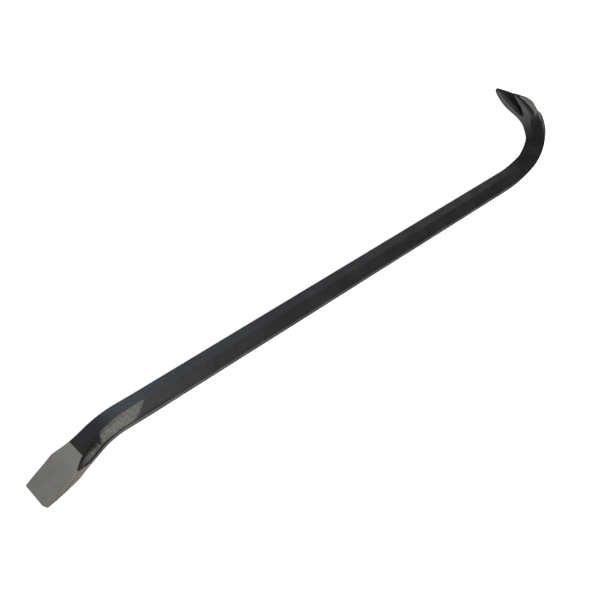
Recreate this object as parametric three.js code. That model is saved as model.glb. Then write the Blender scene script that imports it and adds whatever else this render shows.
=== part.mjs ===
// Gooseneck wrecking bar: one drop forging drawn from regular hexagonal bar.
// It lies on its side: +X runs along the shank from the chisel to the gooseneck,
// +Y is the side that the gooseneck hooks towards, and +Z is up, across the width.
// The forging is modelled as its named zones, which meet face to face.
import * as THREE from "three";

// ---- Driving dimensions, in millimetres and degrees ----
const ACROSS_FLATS = 19;
const HALF_FLATS = ACROSS_FLATS / 2;
const FLAT_HALF_WIDTH = ACROSS_FLATS / (2 * Math.sqrt(3));
const CORNER_RADIUS = 2 * FLAT_HALF_WIDTH;
const EDGE_BREAK = 0.6;

// The centre line, walked from the chisel's cutting edge to the tips of the claw.
const CHISEL_OFFSET_ANGLE = 28;
const CHISEL_RUN = 53.4;
const HEEL_BEND_RADIUS = 50;
const SHANK_RUN = 473.4;
const CLAW_RUN = 49;
const GOOSENECK_BENDS = [
  { radius: 113, turn: 17.4 },
  { radius: 25.2, turn: 42.4 },
  { radius: 24, turn: 59.7 },
  { radius: 155, turn: 13.5 },
  { radius: 90, turn: 3.1 },
];
const ARC_STEP = 6;

// Where one zone ends and the next begins, measured along the centre line.
const GROUND_LENGTH = 42;
const HEEL_BEND_END = CHISEL_RUN + arcLength(HEEL_BEND_RADIUS, CHISEL_OFFSET_ANGLE);
const NECK_LENGTH = HEEL_BEND_END + 18;
const GOOSENECK_START = HEEL_BEND_END + SHANK_RUN;
const GOOSENECK_BEND_LENGTH = GOOSENECK_BENDS.reduce(
  (total, bend) => total + arcLength(bend.radius, bend.turn), 0);
const GOOSENECK_END = GOOSENECK_START + GOOSENECK_BEND_LENGTH;
const CLAW_START = GOOSENECK_END - 22;
const SLOT_START = GOOSENECK_END + 1;
const BAR_LENGTH = GOOSENECK_END + CLAW_RUN;

// The nail slot: half its width at the root and at the tips.
const SLOT_ROOT_HALF = 2.5;
const SLOT_MOUTH_HALF = 6.5;

const BLACK_SCALE = { color: 0x2b2b2e, roughness: 0.55, metalness: 0.3 };
const GROUND_STEEL = { color: 0x8f8e8a, roughness: 0.4, metalness: 0.8 };

// ---- Key sections ----
// Each is an eight-cornered section, symmetric about Z = 0, with its corners given as
// [height above the centre line towards the hook side, half width]: the flat on the hook
// side, the upper and lower corners of each side, and the flat on the back.
function section(at, hook, upper, lower, back) {
  return { at, corners: [hook, upper, lower, back] };
}

// A hexagon with its two side edges broken to a narrow flat.
function hexSection(at) {
  const sideHalf = CORNER_RADIUS - EDGE_BREAK / Math.sqrt(3);
  return section(
    at,
    [HALF_FLATS, FLAT_HALF_WIDTH],
    [EDGE_BREAK, sideHalf],
    [-EDGE_BREAK, sideHalf],
    [-HALF_FLATS, FLAT_HALF_WIDTH],
  );
}

const KEY_SECTIONS = [
  section(0, [9.5, 13.7], [9.1, 14.2], [8.4, 14.2], [7.1, 13.6]),
  section(8, [9.5, 13.8], [8.6, 15.1], [7.2, 15.1], [4, 13.2]),
  section(18, [9.5, 14], [7.9, 15.7], [6, 15.5], [0.5, 12.2]),
  section(27, [9.5, 14.6], [7.7, 15.7], [5.2, 15.1], [-3.1, 10.3]),
  section(33, [9.5, 12.6], [7, 13.7], [5.7, 13.5], [-5.8, 7.7]),
  section(36, [9.5, 11.6], [4.4, 12.5], [3.2, 12.4], [-6.6, 6.9]),
  section(GROUND_LENGTH, [9.5, 9.6], [1.8, 11.2], [0.6, 11.2], [-7.2, 6.3]),
  section(CHISEL_RUN, [9.5, 7.7], [1.6, 10.9], [0.4, 10.9], [-7.6, 6]),
  section(CHISEL_RUN + 12, [9.5, 6.4], [1.2, 10.9], [0, 10.9], [-8.6, 5.8]),
  section(HEEL_BEND_END, [9.5, 5.8], [0.8, 10.8], [-0.4, 10.8], [-9.1, 5.5]),
  hexSection(NECK_LENGTH),
  hexSection(GOOSENECK_START),
  section(GOOSENECK_END - 70, [10.4, 6.1], [1.4, 11], [-0.4, 10.8], [-9.1, 5.4]),
  section(GOOSENECK_END - 44, [10, 6], [1.2, 11], [-0.5, 10.7], [-9.7, 5.6]),
  hexSection(CLAW_START),
  section(GOOSENECK_END - 15, [9.5, 6.4], [0.9, 10.8], [-0.5, 10.8], [-7.4, 5.4]),
  section(GOOSENECK_END - 8, [9.4, 8.7], [1.6, 11.2], [-0.2, 11.2], [-5.8, 5.8]),
  section(GOOSENECK_END, [9.2, 12.1], [4.5, 13], [0, 13.3], [-5, 6.8]),
  section(GOOSENECK_END + 8, [8.9, 15.2], [6, 16.3], [0.4, 16.5], [-4.4, 9.6]),
  section(GOOSENECK_END + 16, [8.7, 16.6], [5.2, 17.2], [1, 17.2], [-3.2, 12]),
  section(GOOSENECK_END + 30, [8.4, 16.2], [5.8, 17], [2.4, 17], [-1, 12.8]),
  section(GOOSENECK_END + 42, [8, 14.8], [6.4, 15.6], [4.6, 15.5], [2.6, 13.2]),
  section(BAR_LENGTH, [7.6, 12.6], [6.9, 13.3], [6.2, 13.3], [5.2, 12.6]),
];

// ---- Helpers ----
function arcLength(radius, degrees) {
  return radius * THREE.MathUtils.degToRad(degrees);
}

// Walks the centre line and returns its point and heading at a distance from the chisel edge.
function centreLine(distance) {
  const legs = [
    { run: CHISEL_RUN },
    { radius: HEEL_BEND_RADIUS, turn: -CHISEL_OFFSET_ANGLE },
    { run: SHANK_RUN },
    ...GOOSENECK_BENDS,
    { run: CLAW_RUN },
  ];
  let heading = THREE.MathUtils.degToRad(CHISEL_OFFSET_ANGLE);
  const point = new THREE.Vector2(0, 0);
  let left = distance;
  for (const leg of legs) {
    const length = leg.run ?? arcLength(leg.radius, Math.abs(leg.turn));
    const travelled = Math.min(left, length);
    if (leg.run !== undefined) {
      point.x += travelled * Math.cos(heading);
      point.y += travelled * Math.sin(heading);
    } else {
      const side = Math.sign(leg.turn);
      const next = heading + side * travelled / leg.radius;
      point.x += side * leg.radius * (Math.sin(next) - Math.sin(heading));
      point.y -= side * leg.radius * (Math.cos(next) - Math.cos(heading));
      heading = next;
    }
    left -= travelled;
    if (left <= 0) {
      break;
    }
  }
  return { point, heading };
}

// The section at any distance, blended between the two key sections around it.
function sectionAt(distance) {
  const next = KEY_SECTIONS.findIndex((key) => key.at >= distance);
  const after = KEY_SECTIONS[Math.max(1, next)];
  const before = KEY_SECTIONS[Math.max(1, next) - 1];
  const share = (distance - before.at) / (after.at - before.at);
  return before.corners.map((corner, index) => new THREE.Vector2(
    THREE.MathUtils.lerp(corner[0], after.corners[index][0], share),
    THREE.MathUtils.lerp(corner[1], after.corners[index][1], share),
  ));
}

// Outlines are in the section's own plane: x is towards the hook side, y is +Z.
function wholeOutline(distance) {
  const [hook, upper, lower, back] = sectionAt(distance);
  const oneSide = [hook, upper, lower, back];
  const otherSide = oneSide.map((corner) => new THREE.Vector2(corner.x, -corner.y));
  return [...oneSide, ...otherSide.reverse()];
}

function slotHalfAt(distance) {
  const share = (distance - SLOT_START) / (BAR_LENGTH - SLOT_START);
  return THREE.MathUtils.lerp(SLOT_ROOT_HALF, SLOT_MOUTH_HALF, share);
}

function tineOutline(distance) {
  const [hook, upper, lower, back] = sectionAt(distance);
  const slot = slotHalfAt(distance);
  const slotSide = [new THREE.Vector2(back.x, slot), new THREE.Vector2(hook.x, slot)];
  return [hook, upper, lower, back, ...slotSide];
}

// Stations of a zone: its ends, the key sections inside it, and even steps round each arc.
function stations(from, to) {
  const list = new Set([from, to]);
  for (const key of KEY_SECTIONS) {
    if (key.at > from && key.at < to) {
      list.add(key.at);
    }
  }
  let arcStart = CHISEL_RUN;
  const arcs = [{ radius: HEEL_BEND_RADIUS, turn: CHISEL_OFFSET_ANGLE, skip: SHANK_RUN }];
  for (const arc of [...arcs, ...GOOSENECK_BENDS]) {
    const steps = Math.ceil(arc.turn / ARC_STEP);
    for (let step = 0; step <= steps; step += 1) {
      const at = arcStart + arcLength(arc.radius, arc.turn * step / steps);
      if (at > from && at < to) {
        list.add(at);
      }
    }
    arcStart += arcLength(arc.radius, arc.turn) + (arc.skip ?? 0);
  }
  const sorted = [...list].sort((a, b) => a - b);
  return sorted.filter((at, index) => index === 0 || at - sorted[index - 1] > 0.2);
}

// Skins a closed body over the outlines at a list of stations, with a flat cap at each end.
function loft(distances, outlineAt) {
  const positions = [];
  const indices = [];
  let count = 0;
  for (const distance of distances) {
    const { point, heading } = centreLine(distance);
    const outline = outlineAt(distance);
    count = outline.length;
    for (const corner of outline) {
      positions.push(
        point.x - Math.sin(heading) * corner.x,
        point.y + Math.cos(heading) * corner.x,
        corner.y,
      );
    }
  }
  const rings = distances.length;
  for (let ring = 0; ring < rings - 1; ring += 1) {
    for (let corner = 0; corner < count; corner += 1) {
      const a = ring * count + corner;
      const b = ring * count + (corner + 1) % count;
      indices.push(a, b, b + count, a, b + count, a + count);
    }
  }
  const last = (rings - 1) * count;
  for (let corner = 1; corner < count - 1; corner += 1) {
    indices.push(0, corner + 1, corner);
    indices.push(last, last + corner, last + corner + 1);
  }
  const geometry = new THREE.BufferGeometry();
  geometry.setAttribute("position", new THREE.Float32BufferAttribute(positions, 3));
  geometry.setIndex(indices);
  geometry.computeVertexNormals();
  return geometry;
}

function mirrorAcrossWidth(geometry) {
  const mirrored = geometry.clone().scale(1, 1, -1);
  const order = Array.from(mirrored.index.array);
  for (let i = 0; i < order.length; i += 3) {
    [order[i + 1], order[i + 2]] = [order[i + 2], order[i + 1]];
  }
  mirrored.setIndex(order);
  mirrored.computeVertexNormals();
  return mirrored;
}

function zone(name, geometry, finish) {
  const mesh = new THREE.Mesh(geometry, new THREE.MeshStandardMaterial(finish));
  mesh.name = name;
  return mesh;
}

// ---- Zones ----
const upperTine = loft(stations(SLOT_START, BAR_LENGTH), tineOutline);
const zones = [
  zone("chisel_blade", loft(stations(0, GROUND_LENGTH), wholeOutline), GROUND_STEEL),
  zone("chisel_neck", loft(stations(GROUND_LENGTH, NECK_LENGTH), wholeOutline), BLACK_SCALE),
  zone("shank", loft(stations(NECK_LENGTH, GOOSENECK_START), wholeOutline), BLACK_SCALE),
  zone("gooseneck", loft(stations(GOOSENECK_START, CLAW_START), wholeOutline), BLACK_SCALE),
  zone("claw_root", loft(stations(CLAW_START, SLOT_START), wholeOutline), BLACK_SCALE),
  zone("claw_tine_upper", upperTine, BLACK_SCALE),
  zone("claw_tine_lower", mirrorAcrossWidth(upperTine), BLACK_SCALE),
];

// The origin is the middle of the bar's footprint, on the surface that it lies on.
const box = new THREE.Box3();
for (const mesh of zones) {
  mesh.geometry.computeBoundingBox();
  box.union(mesh.geometry.boundingBox);
}
const middle = box.getCenter(new THREE.Vector3());
for (const mesh of zones) {
  mesh.geometry.translate(-middle.x, -middle.y, -box.min.z);
}

const wreckingBar = new THREE.Group();
wreckingBar.add(...zones);

export default wreckingBar;
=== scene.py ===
"""Gooseneck wrecking bar: a hexagonal forging with a ground chisel blade and a slotted nail claw.

Each operator builds one zone of the forging around the loaded frame. All zones are skinned over
the same centre line and the same rounded sections, so that neighbours share their end rings.
"""

import math

import bpy
from bpy.props import FloatProperty, FloatVectorProperty, PointerProperty
from bpy.types import Operator, Panel, PropertyGroup
from mathutils import Matrix, Quaternion, Vector, noise


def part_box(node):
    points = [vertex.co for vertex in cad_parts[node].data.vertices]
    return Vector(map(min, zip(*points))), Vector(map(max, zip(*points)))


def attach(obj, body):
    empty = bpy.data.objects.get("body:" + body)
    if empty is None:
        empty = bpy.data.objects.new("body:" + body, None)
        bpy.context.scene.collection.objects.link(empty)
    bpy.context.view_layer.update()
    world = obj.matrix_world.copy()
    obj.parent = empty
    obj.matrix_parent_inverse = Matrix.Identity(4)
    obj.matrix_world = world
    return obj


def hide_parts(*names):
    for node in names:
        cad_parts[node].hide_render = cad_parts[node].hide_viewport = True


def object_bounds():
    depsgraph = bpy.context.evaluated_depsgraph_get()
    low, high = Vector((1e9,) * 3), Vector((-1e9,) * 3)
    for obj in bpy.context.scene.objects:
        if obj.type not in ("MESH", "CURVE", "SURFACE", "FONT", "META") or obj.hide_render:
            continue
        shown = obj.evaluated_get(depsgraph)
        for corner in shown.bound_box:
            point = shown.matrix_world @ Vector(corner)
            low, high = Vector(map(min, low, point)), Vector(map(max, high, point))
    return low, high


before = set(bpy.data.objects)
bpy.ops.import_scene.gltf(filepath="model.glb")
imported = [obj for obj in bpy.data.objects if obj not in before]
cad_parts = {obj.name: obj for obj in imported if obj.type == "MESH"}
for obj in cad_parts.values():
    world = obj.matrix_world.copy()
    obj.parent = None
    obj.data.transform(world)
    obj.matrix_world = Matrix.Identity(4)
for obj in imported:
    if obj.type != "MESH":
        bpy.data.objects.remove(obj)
CAD_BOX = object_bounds()

bl_info = {
    "name": "Gooseneck Wrecking Bar",
    "version": (1, 0, 0),
    "blender": (4, 5, 0),
    "location": "View3D > Sidebar > Wrecking Bar",
    "description": "Builds the finished surfaces of a forged hexagonal wrecking bar",
    "category": "Add Mesh",
}

MM = 0.001

# ---- The centre line, in millimetres from the chisel edge, and its bends in degrees ----
CHISEL_OFFSET_ANGLE = 28.0
CHISEL_RUN = 53.4
HEEL_BEND_RADIUS = 50.0
SHANK_RUN = 473.4
CLAW_RUN = 49.0
GOOSENECK_BENDS = ((113.0, 17.4), (25.2, 42.4), (24.0, 59.7), (155.0, 13.5), (90.0, 3.1))


def arc_length(radius, degrees):
    return radius * math.radians(degrees)


HEEL_BEND_END = CHISEL_RUN + arc_length(HEEL_BEND_RADIUS, CHISEL_OFFSET_ANGLE)
NECK_LENGTH = HEEL_BEND_END + 18.0
GROUND_LENGTH = 42.0
GOOSENECK_START = HEEL_BEND_END + SHANK_RUN
GOOSENECK_END = GOOSENECK_START + sum(arc_length(*bend) for bend in GOOSENECK_BENDS)
CLAW_START = GOOSENECK_END - 22.0
SLOT_START = GOOSENECK_END + 1.0
BAR_LENGTH = GOOSENECK_END + CLAW_RUN
SLOT_LENGTH = BAR_LENGTH - SLOT_START

# The shank's box gives the hexagon and where the centre line runs.
SHANK_LOW, SHANK_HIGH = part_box("shank")
HALF_FLATS = (SHANK_HIGH.y - SHANK_LOW.y) / 2 / MM
FLAT_HALF_WIDTH = HALF_FLATS / math.sqrt(3)
EDGE_BREAK = 0.6
SIDE_HALF = (SHANK_HIGH.z - SHANK_LOW.z) / 2 / MM
SHANK_START = Vector((SHANK_LOW.x, (SHANK_LOW.y + SHANK_HIGH.y) / 2, (SHANK_LOW.z + SHANK_HIGH.z) / 2))

HEX_CORNERS = ((HALF_FLATS, FLAT_HALF_WIDTH), (EDGE_BREAK, SIDE_HALF),
               (-EDGE_BREAK, SIDE_HALF), (-HALF_FLATS, FLAT_HALF_WIDTH))

# Key sections: distance, then (height towards the hook side, half width) of the hook flat's corner,
# the side's upper and lower corner, and the back flat's corner. The other side mirrors them.
KEY_SECTIONS = (
    (0.0, ((9.5, 13.7), (9.1, 14.2), (8.4, 14.2), (7.1, 13.6))),
    (8.0, ((9.5, 13.8), (8.6, 15.1), (7.2, 15.1), (4.0, 13.2))),
    (18.0, ((9.5, 14.0), (7.9, 15.7), (6.0, 15.5), (0.5, 12.2))),
    (27.0, ((9.5, 14.6), (7.7, 15.7), (5.2, 15.1), (-3.1, 10.3))),
    (33.0, ((9.5, 12.6), (7.0, 13.7), (5.7, 13.5), (-5.8, 7.7))),
    (36.0, ((9.5, 11.6), (4.4, 12.5), (3.2, 12.4), (-6.6, 6.9))),
    (GROUND_LENGTH, ((9.5, 9.6), (1.8, 11.2), (0.6, 11.2), (-7.2, 6.3))),
    (CHISEL_RUN, ((9.5, 7.7), (1.6, 10.9), (0.4, 10.9), (-7.6, 6.0))),
    (CHISEL_RUN + 12, ((9.5, 6.4), (1.2, 10.9), (0.0, 10.9), (-8.6, 5.8))),
    (HEEL_BEND_END, ((9.5, 5.8), (0.8, 10.8), (-0.4, 10.8), (-9.1, 5.5))),
    (NECK_LENGTH, HEX_CORNERS),
    (GOOSENECK_START, HEX_CORNERS),
    (GOOSENECK_END - 70, ((10.4, 6.1), (1.4, 11.0), (-0.4, 10.8), (-9.1, 5.4))),
    (GOOSENECK_END - 44, ((10.0, 6.0), (1.2, 11.0), (-0.5, 10.7), (-9.7, 5.6))),
    (CLAW_START, HEX_CORNERS),
    (GOOSENECK_END - 15, ((9.5, 6.4), (0.9, 10.8), (-0.5, 10.8), (-7.4, 5.4))),
    (GOOSENECK_END - 8, ((9.4, 8.7), (1.6, 11.2), (-0.2, 11.2), (-5.8, 5.8))),
    (GOOSENECK_END, ((9.2, 12.1), (4.5, 13.0), (0.0, 13.3), (-5.0, 6.8))),
    (GOOSENECK_END + 8, ((8.9, 15.2), (6.0, 16.3), (0.4, 16.5), (-4.4, 9.6))),
    (GOOSENECK_END + 16, ((8.7, 16.6), (5.2, 17.2), (1.0, 17.2), (-3.2, 12.0))),
    (GOOSENECK_END + 30, ((8.4, 16.2), (5.8, 17.0), (2.4, 17.0), (-1.0, 12.8))),
    (GOOSENECK_END + 42, ((8.0, 14.8), (6.4, 15.6), (4.6, 15.5), (2.6, 13.2))),
    (BAR_LENGTH, ((7.6, 12.6), (6.9, 13.3), (6.2, 13.3), (5.2, 12.6))),
)

# How far a change of section is eased along the bar, on either side.
BLADE_EASE = 0.6
FORGED_EASE = 5.0
BLADE_EDGE_RADIUS = 0.8

# ---- How finely a ring is divided ----
CORNER_POINTS = 7
SIDE_POINTS = (8, 1, 8, 10, 8, 1, 8, 10)
FACE_NAMES = ("side_upper", "side_edge", "side_lower", "back",
              "far_lower", "far_edge", "far_upper", "hook")
RING_STEP = 1.0
NECK_STEP = 0.8
SHANK_STEP = 3.0
NICK_STEP = 0.4

# Where the lacquer ends, as a shift along the bar from GROUND_LENGTH for each face of the ring.
PAINT_SHIFT = {"hook": 0.0, "side_upper": -9.5, "side_edge": -5.0, "side_lower": -2.5, "back": 0.0,
               "far_lower": -2.5, "far_edge": -5.0, "far_upper": -9.5}
PAINT_FADE = 20.0

# Lobes of the neck's dark edge, painted shade of the hammer dents beside the hook edge: distance along
# the bar, half length, and reach as a share of the face.
DARK_LOBES = ((48.3, 1.4, 0.12), (51.8, 1.9, 0.30), (55.2, 1.7, 0.42), (57.6, 1.2, 0.14))

# Hammer marks in the neck, on both sides: distance along the bar, share across the upper side face,
# reach along and across, and depth, in millimetres.
HAMMER_MARKS = (
    (45.5, 0.18, 2.8, 2.8, 0.5), (50.5, 0.25, 3.0, 3.0, 0.8), (55.5, 0.30, 3.2, 3.2, 0.9),
    (59.0, 0.16, 2.4, 2.4, 0.4), (64.0, 0.55, 5.0, 5.0, 0.22), (72.0, 0.40, 5.5, 5.5, 0.2),
    (81.0, 0.50, 6.0, 6.0, 0.2), (89.0, 0.30, 4.5, 4.5, 0.16),
)

# Width of an upper side face, by which a mark's share across the face becomes millimetres.
SIDE_FACE_WIDTH = 8.5

# One mark on the near side of the shank only, given in the same way. Its middle is darkened as painted
# shade: the share by which the lacquer's thinness falls at the mark's middle.
SHANK_NICK = (158.8, 0.55, 2.8, 5.0, 0.24)
NICK_PAINTED_SHADE = 0.5
NICK_REACH = 3.0

# Corners rounded off in plan at the two ends: radius, and how far along the bar the rounding fades.
BLADE_FAR_CORNER = 0.9
BLADE_CORNER_FADE = 10.0
CLAW_CORNER = 3.0
CLAW_CORNER_FADE = 8.0

# The end faces' rounded rims: length along the bar, and how steeply they sink.
BLADE_END_ROUND = 0.35
CLAW_END_ROUND = 0.5
END_ROUND_SLOPE = 0.7


# ---- The user's values ----
class ForgingShape(PropertyGroup):
    """Sizes of the forged surfaces that the frame leaves plain."""

    edge_radius: FloatProperty(
        name="Edge radius", description="Rounding of the hexagon's long edges",
        default=1.0 * MM, min=0.1 * MM, max=3 * MM, unit="LENGTH")
    undulation: FloatProperty(
        name="Undulation", description="Depth of the slow waves that forging leaves in the flats",
        default=0.10 * MM, min=0, max=0.5 * MM, unit="LENGTH")
    leaf_hollow: FloatProperty(
        name="Neck hollow", description="Depth of the hollow in each side of the neck",
        default=0.9 * MM, min=0, max=2 * MM, unit="LENGTH")
    tip_corner: FloatProperty(
        name="Blade corner", description="Radius worn on one corner of the cutting edge",
        default=3.6 * MM, min=0, max=8 * MM, unit="LENGTH")
    slot_root: FloatProperty(
        name="Slot root", description="Width of the nail slot at its rounded root",
        default=5.0 * MM, min=3 * MM, max=8 * MM, unit="LENGTH")
    slot_mouth: FloatProperty(
        name="Slot mouth", description="Width of the nail slot between the tips",
        default=13.0 * MM, min=8 * MM, max=20 * MM, unit="LENGTH")
    slot_bevel: FloatProperty(
        name="Slot bevel", description="Widest bevel along the slot's inner edges",
        default=3.2 * MM, min=0, max=5 * MM, unit="LENGTH")


class ForgingFinish(PropertyGroup):
    """Colours of the two finishes and of their variation."""

    lacquer: FloatVectorProperty(
        name="Lacquer", description="Black lacquer over scale", subtype="COLOR",
        default=(0.0095, 0.0095, 0.0110), min=0, max=1)
    lacquer_thin: FloatVectorProperty(
        name="Thin lacquer", description="Lacquer where it lies thin", subtype="COLOR",
        default=(0.042, 0.042, 0.042), min=0, max=1)
    blued: FloatVectorProperty(
        name="Blued steel", description="Heat-blued steel under thin lacquer on the flats", subtype="COLOR",
        default=(0.034, 0.039, 0.046), min=0, max=1)
    # This grey is also laid on as painted light, on the neck's band and on the claw.
    scale: FloatVectorProperty(
        name="Forging scale", description="Grey scale on the hammered sides of the neck", subtype="COLOR",
        default=(0.150, 0.146, 0.133), min=0, max=1)
    worn: FloatVectorProperty(
        name="Worn edge", description="Where the lacquer has rubbed through", subtype="COLOR",
        default=(0.16, 0.16, 0.155), min=0, max=1)
    steel: FloatVectorProperty(
        name="Ground steel", description="Bare ground steel", subtype="COLOR",
        default=(0.118, 0.115, 0.108), min=0, max=1)
    steel_dressed: FloatVectorProperty(
        name="Dressed steel", description="Freshly ground steel beside the lacquer", subtype="COLOR",
        default=(0.143, 0.140, 0.131), min=0, max=1)
    steel_band: FloatVectorProperty(
        name="Side bevel", description="Warmer steel on the blade's side bevels", subtype="COLOR",
        default=(0.176, 0.152, 0.131), min=0, max=1)


class StudioView(PropertyGroup):
    """The camera and the light."""

    azimuth: FloatProperty(
        name="Azimuth", description="Camera direction round the bar", subtype="ANGLE",
        default=math.radians(220.69))
    elevation: FloatProperty(
        name="Elevation", description="Camera height above the floor", subtype="ANGLE",
        default=math.radians(36.35))
    roll: FloatProperty(
        name="Roll", description="Turn of the camera about its own axis", subtype="ANGLE",
        default=math.radians(121.6))
    distance: FloatProperty(
        name="Distance", description="From the camera to the point that it looks at",
        default=0.6396, min=0.1, max=5, unit="LENGTH")
    focal_length: FloatProperty(
        name="Focal length", description="Lens, in millimetres on a 36 mm sensor",
        default=45.6, min=10, max=200)
    key_power: FloatProperty(
        name="Key light", description="Power of the large soft light, in watts",
        default=3.0, min=0, max=200)
    floor_glow: FloatProperty(
        name="Floor glow", description="Light given off by the light table",
        default=0.78, min=0, max=3)


# ---- Centre line and sections ----
def smooth_step(low, high, value):
    share = min(max((value - low) / (high - low), 0.0), 1.0)
    return share * share * (3 - 2 * share)


def centre_line(distance):
    """The centre line's point and heading, in millimetres and radians, with the shank along +X."""
    legs = [(None, CHISEL_RUN), (HEEL_BEND_RADIUS, -CHISEL_OFFSET_ANGLE), (None, SHANK_RUN)]
    legs += list(GOOSENECK_BENDS)
    legs += [(None, CLAW_RUN)]
    heading = math.radians(CHISEL_OFFSET_ANGLE)
    x = y = 0.0
    left = distance
    for radius, extent in legs:
        length = extent if radius is None else arc_length(radius, abs(extent))
        travelled = min(left, length)
        if radius is None:
            x += travelled * math.cos(heading)
            y += travelled * math.sin(heading)
        else:
            side = math.copysign(1.0, extent)
            turned = heading + side * travelled / radius
            x += side * radius * (math.sin(turned) - math.sin(heading))
            y -= side * radius * (math.cos(turned) - math.cos(heading))
            heading = turned
        left -= travelled
        if left <= 0:
            break
    return x, y, heading


SHANK_START_X, SHANK_START_Y, _ = centre_line(NECK_LENGTH)


def place(distance, height, across):
    """A point given by its distance along the bar, height above the centre line and offset across."""
    x, y, heading = centre_line(distance)
    return SHANK_START + MM * Vector((
        x - SHANK_START_X - math.sin(heading) * height,
        y - SHANK_START_Y + math.cos(heading) * height,
        across))


def straight_blend(distance, corner, part):
    """A corner's height or half width at a distance, on straight lines between the key sections."""
    inside = min(max(distance, 0.0), BAR_LENGTH)
    index = 0
    while index < len(KEY_SECTIONS) - 2 and KEY_SECTIONS[index + 1][0] < inside:
        index += 1
    start, end = KEY_SECTIONS[index], KEY_SECTIONS[index + 1]
    share = (inside - start[0]) / (end[0] - start[0])
    return start[1][corner][part] * (1 - share) + end[1][corner][part] * share


def blended(distance, corner, part):
    """The same, eased over a short window: crisp on the ground blade and soft where it was forged."""
    window = BLADE_EASE + (FORGED_EASE - BLADE_EASE) * smooth_step(GROUND_LENGTH - 8, CHISEL_RUN, distance)
    window = min(window, distance, BAR_LENGTH - distance) if 0 < distance < BAR_LENGTH else 0.0
    samples = [straight_blend(distance + window * step / 2, corner, part) for step in (-2, -1, 0, 1, 2)]
    return sum(samples) / len(samples)


def section_corners(distance):
    """All eight corners, as (height, across), starting at the hook flat's near corner."""
    near = [(blended(distance, corner, 0), blended(distance, corner, 1)) for corner in range(4)]
    far = [(height, -half) for height, half in reversed(near)]
    return [Vector(corner) for corner in near + far]


def edge_radius_at(distance, edge_radius):
    """The long edges' radius: crisper where the blade is ground."""
    return edge_radius + (BLADE_EDGE_RADIUS - edge_radius) * (1 - smooth_step(26, 35, distance))


def ring_points(distance, edge_radius):
    """The rounded section at a distance as (height, across) points, the same number at any distance."""
    corners = section_corners(distance)
    count = len(corners)
    starts, ends = [], []
    for index, corner in enumerate(corners):
        to_last = corners[index - 1] - corner
        to_next = corners[(index + 1) % count] - corner
        turn = math.pi - to_last.angle(to_next)
        reach = edge_radius_at(distance, edge_radius) * math.tan(turn / 2)
        reach = min(reach, 0.45 * to_last.length, 0.45 * to_next.length)
        starts.append(corner + to_last.normalized() * reach)
        ends.append(corner + to_next.normalized() * reach)
    points = []
    for index, corner in enumerate(corners):
        for step in range(CORNER_POINTS):
            share = step / (CORNER_POINTS - 1)
            points.append(starts[index] * (1 - share) ** 2 + corner * (2 * share * (1 - share))
                          + ends[index] * share ** 2)
        following = starts[(index + 1) % count]
        for step in range(SIDE_POINTS[index]):
            points.append(ends[index].lerp(following, (step + 1) / (SIDE_POINTS[index] + 1)))
    return points


def ring_layout():
    """For each ring point: its face, the share across it, its edge wear, and the faces it lies between."""
    layout = []
    for index, side_count in enumerate(SIDE_POINTS):
        before, after = FACE_NAMES[index - 1], FACE_NAMES[index]
        for step in range(CORNER_POINTS):
            share = step / (CORNER_POINTS - 1)
            face, across = (before, 1.0) if share < 0.5 else (after, 0.0)
            layout.append((face, across, 1 - abs(2 * share - 1) * 0.6, (before, after, share)))
        for step in range(side_count):
            layout.append((after, (step + 1) / (side_count + 1), 0.0, (after, after, 0.0)))
    return layout


LAYOUT = ring_layout()
RING_COUNT = len(LAYOUT)


# ---- Shapes that the plain loft doesn't hold ----
def paint_shift(distance, point_index):
    """How far a ring point slides along the bar so that one ring follows the lacquer's edge."""
    before, after, share = LAYOUT[point_index][3]
    shift = PAINT_SHIFT[before] + (PAINT_SHIFT[after] - PAINT_SHIFT[before]) * share
    gap = min(abs(distance - GROUND_LENGTH) / PAINT_FADE, 1.0)
    return shift * (0.5 + 0.5 * math.cos(math.pi * gap))


def tip_shift(distance, across, half_width, radius, fade):
    """Rounds the corner of a cutting edge: how far a point slides in from the end."""
    inside = abs(across) - (half_width - radius)
    if inside <= 0 or radius <= 0:
        return 0.0
    slide = radius - math.sqrt(max(radius * radius - min(inside, radius) ** 2, 0.0))
    return slide * max(1 - distance / fade, 0.0)


def side_share(point_index):
    """Share across the near or far upper side face, from the hook edge to the side edge, or None."""
    face, across = LAYOUT[point_index][:2]
    if face == "side_upper":
        return across
    if face == "far_upper":
        return 1 - across
    return None


def neck_hollow(distance, point_index, depth):
    """Depth of the hollow that runs from the leaf-shaped end of the lacquer into the neck."""
    share = side_share(point_index)
    if share is None:
        return 0.0
    along = smooth_step(33, 44, distance) * (1 - smooth_step(58, 78, distance))
    return depth * along * math.sin(math.pi * share)


def mark_depth(distance, share, mark):
    """How deep one mark is at a point: nothing at its edge, and its full depth in the middle."""
    along, across, reach_along, reach_across, depth = mark
    gap = math.hypot((distance - along) / reach_along, (share - across) * SIDE_FACE_WIDTH / reach_across)
    return depth * max(1 - gap * gap, 0.0) ** 2


def hammer_depth(distance, point_index):
    """Depth of the hammer marks at a point, in millimetres."""
    share = side_share(point_index)
    if share is None:
        return 0.0
    near_only = (SHANK_NICK,) if LAYOUT[point_index][0] == "side_upper" else ()
    return sum(mark_depth(distance, share, mark) for mark in HAMMER_MARKS + near_only)


def hump(distance, middle, half_length):
    """A rounded bump of height 1 at its middle."""
    return max(1 - ((distance - middle) / half_length) ** 2, 0.0)


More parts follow.
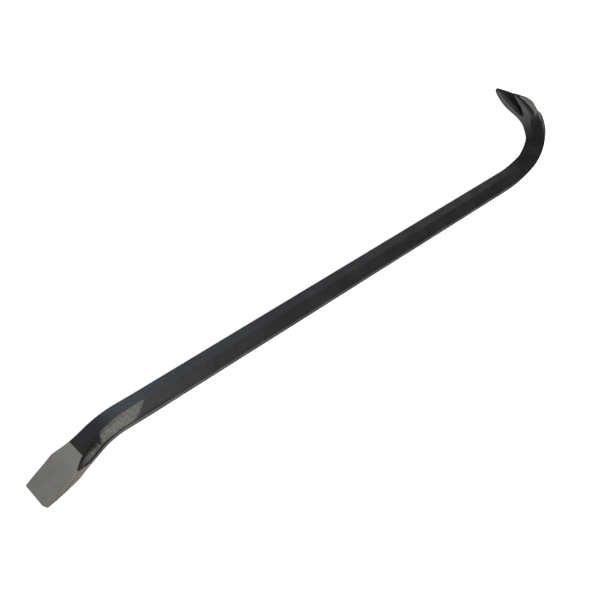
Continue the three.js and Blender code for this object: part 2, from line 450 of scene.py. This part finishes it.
def neck_scale_and_painted_light(distance, share):
    """The neck's side: bare scale in a mottled patch past the bend, and a band of painted light to the
    blade.
    """
    patch_end = 96 - 8 * share - 4 * share * share
    patch_start = 60 - 5 * share
    patch = smooth_step(patch_start - 1.2, patch_start + 1.2, distance)
    patch *= 1 - smooth_step(patch_end - 2.5, patch_end + 1.0, distance)
    patch *= 1 - 0.25 * smooth_step(74, 94, distance)
    patch *= 1 - 0.35 * (1 - smooth_step(0.12, 0.35, share)) * (1 - smooth_step(74, 82, distance))
    # The band of painted light starts past a dark edge along the hook edge, whose lobes are painted shade of
    # the hammer dents, and grows lighter towards the side edge.
    dark_edge = 0.14 + 0.12 * smooth_step(38, 48, distance)
    dark_edge += sum(reach * hump(distance, middle, half) for middle, half, reach in DARK_LOBES)
    leaf = smooth_step(dark_edge - 0.08, dark_edge + 0.42, share)
    leaf *= (0.2 + 0.5 * smooth_step(36, 44, distance)) * smooth_step(34, 37, distance)
    leaf *= 1 - smooth_step(patch_start - 1, patch_start + 1, distance)
    return max(patch, leaf)


def crease_painted_shade(distance, point_index):
    """Painted shade along the crease at the side edge: deepest beside the neck, and gone along the shank."""
    face, across = LAYOUT[point_index][:2]
    if face in ("side_edge", "far_edge"):
        near_edge = 1.0
    else:
        share = side_share(point_index)
        near_edge = 0.0 if share is None else smooth_step(0.86, 0.94, share)
    depth = 1 - 0.5 * smooth_step(60, 66, distance) - 0.5 * smooth_step(95, 150, distance)
    return near_edge * smooth_step(35, 38, distance) * depth


def scale_and_painted_light_share(distance, point_index):
    """Share of the scale grey at a point: scale and painted light on the neck, painted light on the claw."""
    face, across = LAYOUT[point_index][:2]
    if face in ("side_edge", "far_edge"):
        # Painted light: the flared claw's outer walls lightened with the scale grey.
        return smooth_step(GOOSENECK_END, GOOSENECK_END + 6, distance)
    if face in ("side_lower", "far_lower"):
        # Grey on the lower sides beside the neck, fading along the shank, and painted light on the lower
        # sides from the end of the bend into the claw.
        beside_neck = 0.5 * (1 - smooth_step(62, 112, distance))
        return max(beside_neck, 0.6 * smooth_step(GOOSENECK_END - 24, GOOSENECK_END - 18, distance))
    if face == "hook":
        # Painted light: the inner face at the claw's root lightened with the scale grey, less at its edges.
        inner = 0.32 * smooth_step(GOOSENECK_END - 30, GOOSENECK_END - 6, distance)
        return inner * (1 - smooth_step(0.42, 0.5, abs(across - 0.5)))
    share = side_share(point_index)
    if share is None:
        return 0.0
    # The side faces: the neck's scale and painted light, with the crease's painted shade kept plain black.
    return neck_scale_and_painted_light(distance, share) * (1 - crease_painted_shade(distance, point_index))


def thin_share(distance, point_index):
    """How thin the lacquer lies: thinnest just past the heel bend, building up along the shank."""
    along = smooth_step(60, 76, distance) * math.exp(-max(distance - 95, 0) / 95)
    if LAYOUT[point_index][0] == "side_upper":
        # Painted shade in the nick: the lacquer kept darker at its middle.
        in_nick = mark_depth(distance, LAYOUT[point_index][1], SHANK_NICK) / SHANK_NICK[-1]
        along *= 1 - NICK_PAINTED_SHADE * in_nick
    # No thin lacquer in the crease's painted shade.
    return along * (1 - crease_painted_shade(distance, point_index))


def unevenness(point, depth):
    """Slow waves and finer pitting, always inwards."""
    slow = noise.noise(point * 55) * 0.5 + 0.5
    fine = noise.noise(point * 240) * 0.5 + 0.5
    return depth * (0.75 * slow + 0.25 * fine)


# ---- Building one zone ----
def zone_distances(start, end, step):
    count = max(2, round((end - start) / step) + 1)
    return [start + (end - start) * index / (count - 1) for index in range(count)]


def loft_zone(name, distances, shape, end_round=0.0):
    """Skins a closed piece over the rounded rings at the given distances, with its surface marks."""
    ring_places = []
    marks = {mark: [] for mark in ("wear", "scale", "side_band", "thin", "blued", "dressed")}
    for distance in distances:
        plain = ring_points(distance, shape.edge_radius / MM)
        half_width = max(point.y for point in plain)
        for index, point in enumerate(plain):
            at = distance + paint_shift(distance, index)
            if distance < BLADE_CORNER_FADE:
                radius = shape.tip_corner / MM if point.y > 0 else BLADE_FAR_CORNER
                at += tip_shift(distance, point.y, half_width, radius, BLADE_CORNER_FADE)
            from_claw_end = BAR_LENGTH - distance
            if from_claw_end < CLAW_CORNER_FADE:
                at -= tip_shift(from_claw_end, point.y, half_width, CLAW_CORNER, CLAW_CORNER_FADE)
            ring_places.append((at, index))
    rings = {}
    positions = []
    for at, index in ring_places:
        key = round(at, 3)
        if key not in rings:
            rings[key] = ring_points(at, shape.edge_radius / MM)
        ring = rings[key]
        point = ring[index]
        outward = (ring[(index + 1) % RING_COUNT] - ring[index - 1]).normalized()
        outward = Vector((outward.y, -outward.x))
        sunk = neck_hollow(at, index, shape.leaf_hollow / MM) + hammer_depth(at, index)
        sunk += unevenness(place(at, point.x, point.y), shape.undulation / MM)
        end_gap = min(at, BAR_LENGTH - at)
        if end_round and end_gap < end_round:
            sunk += (end_round - end_gap) * END_ROUND_SLOPE
        point = point - outward * sunk
        positions.append(place(at, point.x, point.y))
        flat = LAYOUT[index][0] in ("hook", "back")
        # The crease's painted shade keeps the edge wear off it.
        marks["wear"].append(LAYOUT[index][2] * (1 - crease_painted_shade(at, index)))
        # The scale mark carries bare scale and painted light.
        marks["scale"].append(scale_and_painted_light_share(at, index))
        marks["thin"].append(thin_share(at, index))
        marks["side_band"].append(0.0 if flat else 1.0)
        marks["blued"].append(1.0 if flat else 0.0)
        marks["dressed"].append(smooth_step(22, 38, at) if flat else 0.0)
    faces = []
    rows = len(distances)
    for row in range(rows - 1):
        for index in range(RING_COUNT):
            a = row * RING_COUNT + index
            b = row * RING_COUNT + (index + 1) % RING_COUNT
            faces.append((a, b, b + RING_COUNT, a + RING_COUNT))
    faces.append(tuple(reversed(range(RING_COUNT))))
    faces.append(tuple(range((rows - 1) * RING_COUNT, rows * RING_COUNT)))
    mesh = bpy.data.meshes.new(name)
    mesh.from_pydata(positions, [], faces)
    for attribute_name, values in marks.items():
        attribute = mesh.attributes.new(attribute_name, "FLOAT", "POINT")
        attribute.data.foreach_set("value", values)
    mesh.validate()
    piece = bpy.data.objects.new(name, mesh)
    bpy.context.scene.collection.objects.link(piece)
    return piece


def shade(piece, material, sharp_angle=38):
    """Smooth shading that keeps edges sharper than sharp_angle degrees."""
    mesh = piece.data
    mesh.polygons.foreach_set("use_smooth", [True] * len(mesh.polygons))
    mesh.set_sharp_from_angle(angle=math.radians(sharp_angle))
    mesh.materials.clear()
    mesh.materials.append(material)


def finish_piece(piece, material, slot_name, *nodes):
    shade(piece, material)
    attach(piece, "root")
    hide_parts(*nodes)


# ---- Materials ----
class Nodes:
    """Adds nodes to a material and joins them, one call each."""

    def __init__(self, name):
        self.material = bpy.data.materials.get(name) or bpy.data.materials.new(name)
        self.material.use_nodes = True
        self.tree = self.material.node_tree
        self.tree.nodes.clear()
        self.output = self.add("ShaderNodeOutputMaterial")
        self.shader = self.add("ShaderNodeBsdfPrincipled")
        self.join(self.shader, "BSDF", self.output, "Surface")

    def add(self, kind, **settings):
        node = self.tree.nodes.new(kind)
        for key, value in settings.items():
            setattr(node, key, value)
        return node

    def join(self, source, out_name, target, in_name):
        self.tree.links.new(source.outputs[out_name], target.inputs[in_name])

    def place_coordinates(self, turn=0.0, stretch=(1, 1, 1)):
        """Object coordinates, turned about +Z and stretched."""
        coordinates = self.add("ShaderNodeTexCoord")
        mapping = self.add("ShaderNodeMapping", vector_type="TEXTURE")
        mapping.inputs["Rotation"].default_value = (0, 0, turn)
        mapping.inputs["Scale"].default_value = stretch
        self.join(coordinates, "Object", mapping, "Vector")
        return mapping

    def noise(self, coordinates, scale, detail=2.0, roughness=0.5):
        texture = self.add("ShaderNodeTexNoise")
        texture.inputs["Scale"].default_value = scale
        texture.inputs["Detail"].default_value = detail
        texture.inputs["Roughness"].default_value = roughness
        self.join(coordinates, "Vector", texture, "Vector")
        return texture

    def attribute(self, name):
        return self.add("ShaderNodeAttribute", attribute_name=name)

    def remap(self, source, out_name, low, high, to_low=0.0, to_high=1.0):
        node = self.add("ShaderNodeMapRange", interpolation_type="SMOOTHSTEP")
        node.inputs["From Min"].default_value = low
        node.inputs["From Max"].default_value = high
        node.inputs["To Min"].default_value = to_low
        node.inputs["To Max"].default_value = to_high
        self.join(source, out_name, node, "Value")
        return node

    def math(self, operation, first, second):
        """first and second are nodes with one output, or numbers."""
        node = self.add("ShaderNodeMath", operation=operation)
        for index, value in enumerate((first, second)):
            if isinstance(value, (int, float)):
                node.inputs[index].default_value = value
            else:
                self.tree.links.new(self.main_output(value), node.inputs[index])
        return node

    @staticmethod
    def main_output(node):
        names = ("Fac", "Result", "Value", "Color")
        return next(node.outputs[name] for name in names if name in node.outputs)

    def mix_colour(self, share, first, second):
        """Mixes two colours, or the result of an earlier mix, by share."""
        node = self.add("ShaderNodeMix", data_type="RGBA")
        self.tree.links.new(self.main_output(share), node.inputs["Factor"])
        colour_inputs = [socket for socket in node.inputs if socket.type == "RGBA"]
        for socket, value in zip(colour_inputs, (first, second)):
            if isinstance(value, bpy.types.Node):
                self.tree.links.new(self.colour_output(value), socket)
            else:
                socket.default_value = (*value, 1.0)
        return node

    @staticmethod
    def colour_output(node):
        return next(socket for socket in node.outputs if socket.type == "RGBA")

    def colour_into(self, node, in_name):
        self.tree.links.new(self.colour_output(node), self.shader.inputs[in_name])

    def bump(self, height, strength, distance, below=None):
        node = self.add("ShaderNodeBump")
        node.inputs["Strength"].default_value = strength
        node.inputs["Distance"].default_value = distance
        self.tree.links.new(self.main_output(height), node.inputs["Height"])
        if below is not None:
            self.join(below, "Normal", node, "Normal")
        return node


def black_lacquer():
    """Satin black lacquer over forging scale, thin on the edges, and grey as scale and painted light on the
    hammered neck and the claw.
    """
    finish = bpy.context.scene.bar_finish
    nodes = Nodes("black_lacquer")
    plain = nodes.place_coordinates()
    cloud = nodes.noise(plain, 70, 3)
    grain = nodes.noise(plain, 900, 3, 0.6)
    pits = nodes.noise(plain, 2600, 2, 0.6)
    patchy = nodes.remap(cloud, "Fac", 0.3, 0.7, 0.75, 1.0)
    thin = nodes.math("MULTIPLY", nodes.attribute("thin"), patchy)
    thin = nodes.math("ADD", thin, nodes.remap(nodes.noise(plain, 38, 4, 0.6), "Fac", 0.42, 0.72, 0.0, 0.22))
    speckle = nodes.remap(nodes.noise(plain, 1100, 3, 0.7), "Fac", 0.35, 0.65, 0.8, 1.15)
    thin = nodes.math("MULTIPLY", thin, speckle)
    thin_colour = nodes.mix_colour(nodes.attribute("blued"), finish.lacquer_thin[:], finish.blued[:])
    colour = nodes.mix_colour(thin, finish.lacquer[:], thin_colour)
    # The scale attribute holds bare scale and painted light, both laid on in the scale grey.
    scale = nodes.attribute("scale")
    mottle = nodes.remap(nodes.noise(plain, 520, 5, 0.75), "Fac", 0.36, 0.58, 0.45, 1.0)
    scale_and_painted_light_mask = nodes.math("MULTIPLY", scale, mottle)
    colour = nodes.mix_colour(scale_and_painted_light_mask, colour, finish.scale[:])
    wear = nodes.attribute("wear")
    rubbed = nodes.remap(nodes.noise(plain, 650, 4, 0.7), "Fac", 0.60, 0.70)
    wear_mask = nodes.math("MULTIPLY", nodes.math("MULTIPLY", wear, rubbed), 0.55)
    colour = nodes.mix_colour(wear_mask, colour, finish.worn[:])
    nodes.colour_into(colour, "Base Color")
    gloss = nodes.remap(cloud, "Fac", 0.3, 0.7, 0.48, 0.62)
    gloss = nodes.math("ADD", gloss, nodes.math("MULTIPLY", scale_and_painted_light_mask, 0.16))
    nodes.join(gloss, "Value", nodes.shader, "Roughness")
    coarse = nodes.bump(grain, 0.35, 0.00012)
    fine = nodes.bump(pits, 0.25, 0.00005, coarse)
    nodes.join(fine, "Normal", nodes.shader, "Normal")
    nodes.shader.inputs["Specular IOR Level"].default_value = 0.07
    nodes.shader.inputs["Metallic"].default_value = 0.0
    return nodes.material


def ground_steel():
    """Bare steel with fine grinding lines along the blade and a warmer bevel at each side."""
    finish = bpy.context.scene.bar_finish
    nodes = Nodes("ground_steel")
    turn = math.radians(CHISEL_OFFSET_ANGLE)
    lines = nodes.noise(nodes.place_coordinates(turn, (14, 1, 1)), 3200, 2, 0.6)
    plain = nodes.place_coordinates()
    cloud = nodes.noise(plain, 110, 3)
    grain = nodes.noise(plain, 1500, 2, 0.6)
    band = nodes.attribute("side_band")
    tint = nodes.math("MULTIPLY", band, nodes.remap(cloud, "Fac", 0.3, 0.7, 0.75, 1.0))
    colour = nodes.mix_colour(tint, finish.steel[:], finish.steel_band[:])
    colour = nodes.mix_colour(nodes.attribute("dressed"), colour, finish.steel_dressed[:])
    darker = tuple(part * 0.78 for part in finish.steel)
    streaks = nodes.remap(lines, "Fac", 0.35, 0.7, 0.0, 0.55)
    colour = nodes.mix_colour(streaks, colour, darker)
    nodes.colour_into(colour, "Base Color")
    nodes.shader.inputs["Metallic"].default_value = 0.5
    nodes.shader.inputs["Specular IOR Level"].default_value = 0.2
    gloss = nodes.remap(cloud, "Fac", 0.3, 0.7, 0.54, 0.66)
    nodes.join(gloss, "Result", nodes.shader, "Roughness")
    coarse = nodes.bump(grain, 0.2, 0.00006)
    fine = nodes.bump(lines, 0.3, 0.00005, coarse)
    nodes.join(fine, "Normal", nodes.shader, "Normal")
    return nodes.material


def table_white(glow):
    """The light table's glowing white surface."""
    nodes = Nodes("light_table")
    plain = nodes.place_coordinates()
    clouding = nodes.remap(nodes.noise(plain, 3, 2), "Fac", 0.2, 0.8)
    colour = nodes.mix_colour(clouding, (0.86, 0.86, 0.86), (0.88, 0.88, 0.88))
    nodes.colour_into(colour, "Base Color")
    nodes.shader.inputs["Roughness"].default_value = 0.9
    nodes.shader.inputs["Emission Color"].default_value = (1, 1, 1, 1)
    nodes.shader.inputs["Emission Strength"].default_value = glow
    return nodes.material


# ---- The nail slot ----
# Heights at which the slot is drawn, from above the inner face down through the back, and how much
# of the bevel it is widened by at each.
SLOT_LEVELS = ((14.0, 2.6), (9.0, 1.0), (7.4, 0.45), (5.4, 0.0), (-14.0, 0.0))
SLOT_OVERRUN = 12.0
SLOT_ROOT_STEPS = 10
SLOT_SIDE_STEPS = 16
SLOT_BEVEL_RUN = 26.0


def slot_half_width(along, shape):
    """Half the slot's width, in millimetres, at a distance from its root."""
    return (shape.slot_root + (shape.slot_mouth - shape.slot_root) * along / SLOT_LENGTH) / 2 / MM


def slot_level(height, widening, shape):
    """The slot's outline at one height, widened by a share of the bevel, with a round root."""
    overrun = SLOT_LENGTH + SLOT_OVERRUN
    root_radius = slot_half_width(0, shape) + 0.5 * widening
    near = []
    for step in range(SLOT_ROOT_STEPS + 1):
        angle = math.pi / 2 * step / SLOT_ROOT_STEPS
        along = slot_half_width(0, shape) - root_radius * math.cos(angle)
        near.append((along, root_radius * math.sin(angle)))
    start = near[-1][0]
    for step in range(1, SLOT_SIDE_STEPS + 1):
        along = start + (overrun - start) * step / SLOT_SIDE_STEPS
        bevel = widening * shape.slot_bevel / MM * smooth_step(0, SLOT_BEVEL_RUN, along)
        near.append((along, slot_half_width(along, shape) + 0.5 * widening + bevel))
    outline = near + [(along, -half) for along, half in reversed(near[1:])]
    return [place_on_claw(along, height, half) for along, half in outline]


def place_on_claw(along, height, across):
    """A point in the claw's straight frame, which starts at the slot's root."""
    x, y, heading = centre_line(SLOT_START)
    return SHANK_START + MM * Vector((
        x - SHANK_START_X + math.cos(heading) * along - math.sin(heading) * height,
        y - SHANK_START_Y + math.sin(heading) * along + math.cos(heading) * height,
        across))


def cut_slot(piece, shape):
    """Cuts the tapered slot through the claw, wider at the inner face and eased at the back."""
    rows = [slot_level(height, widening, shape) for height, widening in SLOT_LEVELS]
    count = len(rows[0])
    faces = []
    for row in range(len(rows) - 1):
        for index in range(count):
            a, b = row * count + index, row * count + (index + 1) % count
            faces.append((a, a + count, b + count, b))
    faces.append(tuple(range(count)))
    faces.append(tuple(reversed(range((len(rows) - 1) * count, len(rows) * count))))
    mesh = bpy.data.meshes.new("slot_cutter")
    mesh.from_pydata([point for row in rows for point in row], [], faces)
    cutter = bpy.data.objects.new("slot_cutter", mesh)
    bpy.context.scene.collection.objects.link(cutter)
    cut = piece.modifiers.new("nail_slot", "BOOLEAN")
    cut.operation = "DIFFERENCE"
    cut.solver = "EXACT"
    cut.object = cutter
    bpy.context.view_layer.update()
    evaluated = piece.evaluated_get(bpy.context.evaluated_depsgraph_get())
    whole_count = len(piece.data.polygons)
    result = bpy.data.meshes.new_from_object(evaluated)
    piece.modifiers.clear()
    piece.data = result
    bpy.data.objects.remove(cutter)
    if len(result.polygons) in (0, whole_count):
        raise RuntimeError("the nail slot wasn't cut")


# ---- The studio, in metres ----
FLOOR_REACH = 60.0
FLOOR_GAP = 0.0002
VIEW_REACH = 200
AIM_FROM_SHANK_MIDDLE = Vector((-0.067, 0.0072, 0))
FILL_TO_KEY = 1.2
WORLD_STRENGTH = 0.62


# ---- Operators ----
class BAR_OT_chisel_blade(Operator):
    """Builds the bare, ground chisel blade"""

    bl_idname = "bar.chisel_blade"
    bl_label = "Chisel Blade"

    def execute(self, context):
        distances = [0.0, BLADE_END_ROUND] + zone_distances(RING_STEP, GROUND_LENGTH, RING_STEP)
        piece = loft_zone("ground_chisel_blade", distances, context.scene.bar_shape, BLADE_END_ROUND)
        finish_piece(piece, ground_steel(), "ground_steel", "chisel_blade")
        return {"FINISHED"}


class BAR_OT_chisel_neck(Operator):
    """Builds the hammered neck between the blade and the heel bend"""

    bl_idname = "bar.chisel_neck"
    bl_label = "Chisel Neck"

    def execute(self, context):
        distances = zone_distances(GROUND_LENGTH, NECK_LENGTH, NECK_STEP)
        piece = loft_zone("forged_chisel_neck", distances, context.scene.bar_shape)
        finish_piece(piece, black_lacquer(), "black_lacquer", "chisel_neck")
        return {"FINISHED"}


class BAR_OT_shank(Operator):
    """Builds the straight hexagonal shank"""

    bl_idname = "bar.shank"
    bl_label = "Hexagonal Shank"

    def execute(self, context):
        before_nick, after_nick = SHANK_NICK[0] - NICK_REACH, SHANK_NICK[0] + NICK_REACH
        distances = zone_distances(NECK_LENGTH, before_nick, SHANK_STEP)
        distances += zone_distances(before_nick, after_nick, NICK_STEP)[1:]
        distances += zone_distances(after_nick, GOOSENECK_START, SHANK_STEP)[1:]
        piece = loft_zone("hexagonal_shank", distances, context.scene.bar_shape)
        finish_piece(piece, black_lacquer(), "black_lacquer", "shank")
        return {"FINISHED"}


class BAR_OT_gooseneck(Operator):
    """Builds the gooseneck bend"""

    bl_idname = "bar.gooseneck"
    bl_label = "Gooseneck"

    def execute(self, context):
        distances = zone_distances(GOOSENECK_START, CLAW_START, RING_STEP)
        piece = loft_zone("gooseneck_bend", distances, context.scene.bar_shape)
        finish_piece(piece, black_lacquer(), "black_lacquer", "gooseneck")
        return {"FINISHED"}


class BAR_OT_nail_claw(Operator):
    """Builds the flared claw and cuts its nail slot"""

    bl_idname = "bar.nail_claw"
    bl_label = "Nail Claw"

    def execute(self, context):
        shape = context.scene.bar_shape
        distances = zone_distances(CLAW_START, BAR_LENGTH - RING_STEP, RING_STEP)
        distances += [BAR_LENGTH - CLAW_END_ROUND, BAR_LENGTH]
        piece = loft_zone("nail_claw", distances, shape, CLAW_END_ROUND)
        cut_slot(piece, shape)
        finish_piece(piece, black_lacquer(), "black_lacquer",
                     "claw_root", "claw_tine_upper", "claw_tine_lower")
        return {"FINISHED"}


class BAR_OT_studio(Operator):
    """Builds the light table, the lights and the camera"""

    bl_idname = "bar.studio"
    bl_label = "Studio"

    def execute(self, context):
        scene = context.scene
        view = scene.bar_view
        floor_mesh = bpy.data.meshes.new("light_table")
        floor_z = CAD_BOX[0].z - FLOOR_GAP
        sides = ((-1, -1), (1, -1), (1, 1), (-1, 1))
        corners = [(x * FLOOR_REACH, y * FLOOR_REACH, floor_z) for x, y in sides]
        floor_mesh.from_pydata(corners, [], [(0, 1, 2, 3)])
        floor = bpy.data.objects.new("light_table", floor_mesh)
        scene.collection.objects.link(floor)
        floor_mesh.materials.append(table_white(view.floor_glow))
        add_lights(scene, view)
        add_world(scene)
        add_camera(scene, view)
        return {"FINISHED"}


def add_area(scene, name, location, target, size, power):
    data = bpy.data.lights.new(name, "AREA")
    data.shape = "DISK"
    data.size = size
    data.energy = power
    light = bpy.data.objects.new(name, data)
    light.location = location
    light.rotation_euler = (Vector(target) - Vector(location)).to_track_quat("-Z", "Y").to_euler()
    scene.collection.objects.link(light)


def add_lights(scene, view):
    add_area(scene, "key_light", (-0.35, 0.15, 0.75), (-0.2, 0, 0), 0.5, view.key_power)
    add_area(scene, "fill_light", (0.6, 0.35, 1.1), (0.1, 0, 0), 0.8, view.key_power * FILL_TO_KEY)


def add_world(scene):
    world = bpy.data.worlds.new("soft_box")
    world.use_nodes = True
    background = world.node_tree.nodes["Background"]
    background.inputs["Color"].default_value = (1, 1, 1, 1)
    background.inputs["Strength"].default_value = WORLD_STRENGTH
    scene.world = world


def add_camera(scene, view):
    data = bpy.data.cameras.new("camera")
    data.lens = view.focal_length
    data.clip_start, data.clip_end = 0.01, VIEW_REACH
    camera = bpy.data.objects.new("camera", data)
    shank_middle = (SHANK_LOW + SHANK_HIGH) / 2
    look_at = shank_middle + AIM_FROM_SHANK_MIDDLE
    turn = (Quaternion((0, 0, 1), view.azimuth)
            @ Quaternion((1, 0, 0), math.pi / 2 - view.elevation)
            @ Quaternion((0, 0, 1), view.roll))
    back = turn @ Vector((0, 0, 1))
    camera.matrix_world = Matrix.Translation(look_at + back * view.distance) @ turn.to_matrix().to_4x4()
    scene.collection.objects.link(camera)
    scene.camera = camera
    scene.view_settings.view_transform = "Standard"


class BAR_PT_panel(Panel):
    """Lists the bar's zones, their sizes and their finishes"""

    bl_idname = "BAR_PT_panel"
    bl_label = "Wrecking Bar"
    bl_space_type = "VIEW_3D"
    bl_region_type = "UI"
    bl_category = "Wrecking Bar"

    def draw(self, context):
        layout = self.layout
        for operator in OPERATORS:
            layout.operator(operator.bl_idname)
        for group in (context.scene.bar_shape, context.scene.bar_finish, context.scene.bar_view):
            column = layout.box().column()
            for name in group.__annotations__:
                column.prop(group, name)


OPERATORS = (BAR_OT_chisel_blade, BAR_OT_chisel_neck, BAR_OT_shank, BAR_OT_gooseneck,
             BAR_OT_nail_claw, BAR_OT_studio)
GROUPS = {"bar_shape": ForgingShape, "bar_finish": ForgingFinish, "bar_view": StudioView}


def register():
    for cls in (*GROUPS.values(), *OPERATORS, BAR_PT_panel):
        bpy.utils.register_class(cls)
    for name, group in GROUPS.items():
        setattr(bpy.types.Scene, name, PointerProperty(type=group))


def unregister():
    for name in GROUPS:
        delattr(bpy.types.Scene, name)
    for cls in (BAR_PT_panel, *reversed(OPERATORS), *GROUPS.values()):
        bpy.utils.unregister_class(cls)


def main():
    register()
    bpy.ops.bar.chisel_blade()
    bpy.ops.bar.chisel_neck()
    bpy.ops.bar.shank()
    bpy.ops.bar.gooseneck()
    bpy.ops.bar.nail_claw()
    bpy.ops.bar.studio()


if __name__ == "__main__":
    main()
